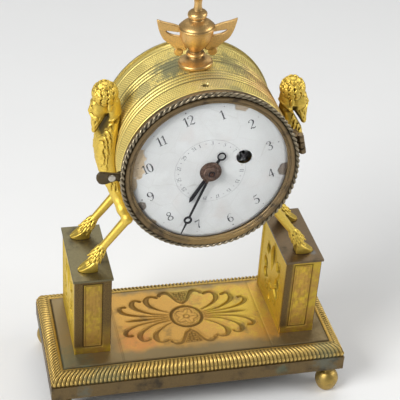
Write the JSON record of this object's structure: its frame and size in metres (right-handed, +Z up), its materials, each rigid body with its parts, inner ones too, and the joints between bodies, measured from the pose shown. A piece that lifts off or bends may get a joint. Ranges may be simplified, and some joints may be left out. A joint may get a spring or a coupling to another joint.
{
  "type": "mantel clock",
  "caption": "Small gilt pendulette: a drum clock carried by goat-legged satyr figures on panelled plinths, with an urn on top and a reeded base on ball feet.",
  "frame": {"origin": "the middle of the base's outline on the table plane, under the ball feet", "axes": "+X to the right as the dial is read, +Y away from the viewer towards the rear cover, +Z up"},
  "size_m": [0.0924, 0.0422, 0.1355],
  "materials": {
    "gilt": "fire-gilt, worn",
    "dark_brass": "oxidised, worn gilding",
    "brass": "satin",
    "steel": "polished",
    "black_steel": "blued to near black",
    "enamel": "white vitreous enamel, chipped",
    "glass": "clear domed"
  },
  "bodies": {
    "case": {"satyr_left": "gilt", "satyr_right": "gilt", "drum_shell": "gilt", "rear_cover": "gilt", "plinth_left": "gilt", "plinth_right": "gilt", "plinth_cap_left": "gilt", "plinth_cap_right": "gilt", "base_plate": "gilt", "moulding_front": "gilt", "moulding_back": "gilt", "moulding_left": "gilt", "moulding_right": "gilt", "foot_front_left": "gilt", "foot_front_right": "gilt", "foot_back_left": "gilt", "foot_back_right": "gilt", "urn_body": "gilt", "urn_finial": "gilt", "urn_handles": "gilt", "base_band": "dark_brass", "case_leaf": "dark_brass", "movement_seat": "brass", "pillar_plate": "brass", "back_plate": "brass", "plate_pillars": "brass", "balance_cock": "brass", "tie_rod_nuts": "brass", "tie_rods": "steel", "urn_nut": "steel", "satyr_screws": "steel", "hinge_pin": "steel", "taper_pins": "steel", "movement_screws": "steel", "under_dial_posts": "steel", "dial": "enamel"},
    "bezel": {"bezel_ring": "dark_brass", "bezel_rope": "dark_brass", "bezel_glass": "glass", "bezel_tab": "dark_brass", "tab_rivet": "dark_brass", "bezel_leaf": "dark_brass"},
    "minute": {"centre_wheel": "brass", "cannon_pinion": "steel", "minute_hand": "black_steel"},
    "hour": {"hour_wheel": "brass", "hour_hand": "black_steel"},
    "motion_wheel": {"minute_wheel": "brass"},
    "going_barrel": {"barrel": "brass", "barrel_cover": "brass", "mainspring": "steel"},
    "third": {"third_wheel": "brass"},
    "fourth": {"fourth_wheel": "brass"},
    "escape": {"escape_wheel": "brass"},
    "balance_wheel": {"balance": "brass", "hairspring": "steel"},
    "winder": {"winding_arbor": "steel", "ratchet_wheel": "steel"},
    "pawl": {"click": "steel"}
  },
  "joints": [
    {"name": "bezel_hinge", "type": "hinge", "parent": "case", "child": "bezel", "pos_m": [0.02623, -0.01195, 0.0895], "axis": [-0.2334, 0, 0.9724], "range_deg": [0, 110]},
    {"name": "minute_turn", "type": "hinge", "parent": "case", "child": "minute", "pos_m": [0, 0, 0.0832], "axis": [0, 1, 0], "continuous": true},
    {"name": "hour_turn", "type": "hinge", "parent": "case", "child": "hour", "pos_m": [0, 0, 0.0832], "axis": [0, 1, 0], "continuous": true},
    {"name": "motion_wheel_turn", "type": "hinge", "parent": "case", "child": "motion_wheel", "pos_m": [-0.00383, 0, 0.0861], "axis": [0, 1, 0], "continuous": true},
    {"name": "barrel_turn", "type": "hinge", "parent": "case", "child": "going_barrel", "pos_m": [0.00943, 0, 0.08718], "axis": [0, 1, 0], "continuous": true},
    {"name": "third_turn", "type": "hinge", "parent": "case", "child": "third", "pos_m": [-0.00668, 0, 0.08662], "axis": [0, 1, 0], "continuous": true},
    {"name": "fourth_turn", "type": "hinge", "parent": "case", "child": "fourth", "pos_m": [-0.00812, 0, 0.07987], "axis": [0, 1, 0], "continuous": true},
    {"name": "escape_turn", "type": "hinge", "parent": "case", "child": "escape", "pos_m": [-0.00431, 0, 0.07577], "axis": [0, 1, 0], "continuous": true},
    {"name": "balance_swing", "type": "hinge", "parent": "case", "child": "balance_wheel", "pos_m": [-0.0008, 0, 0.07311], "axis": [0, 1, 0], "range_deg": [-110, 110]},
    {"name": "winding_turn", "type": "hinge", "parent": "case", "child": "winder", "pos_m": [0.00943, 0, 0.08718], "axis": [0, 1, 0], "range_deg": [0, 1800]},
    {"name": "click_lift", "type": "hinge", "parent": "case", "child": "pawl", "pos_m": [0.00996, 0, 0.09306], "axis": [0, -1, 0], "range_deg": [0, 12]}
  ],
  "couplings": [
    {"joint": "hour_turn", "follows": "minute_turn", "ratio": 0.083333},
    {"joint": "motion_wheel_turn", "follows": "minute_turn", "ratio": -0.33333},
    {"joint": "barrel_turn", "follows": "minute_turn", "ratio": -0.16667},
    {"joint": "third_turn", "follows": "minute_turn", "ratio": -8},
    {"joint": "escape_turn", "follows": "fourth_turn", "ratio": -8}
  ]
}
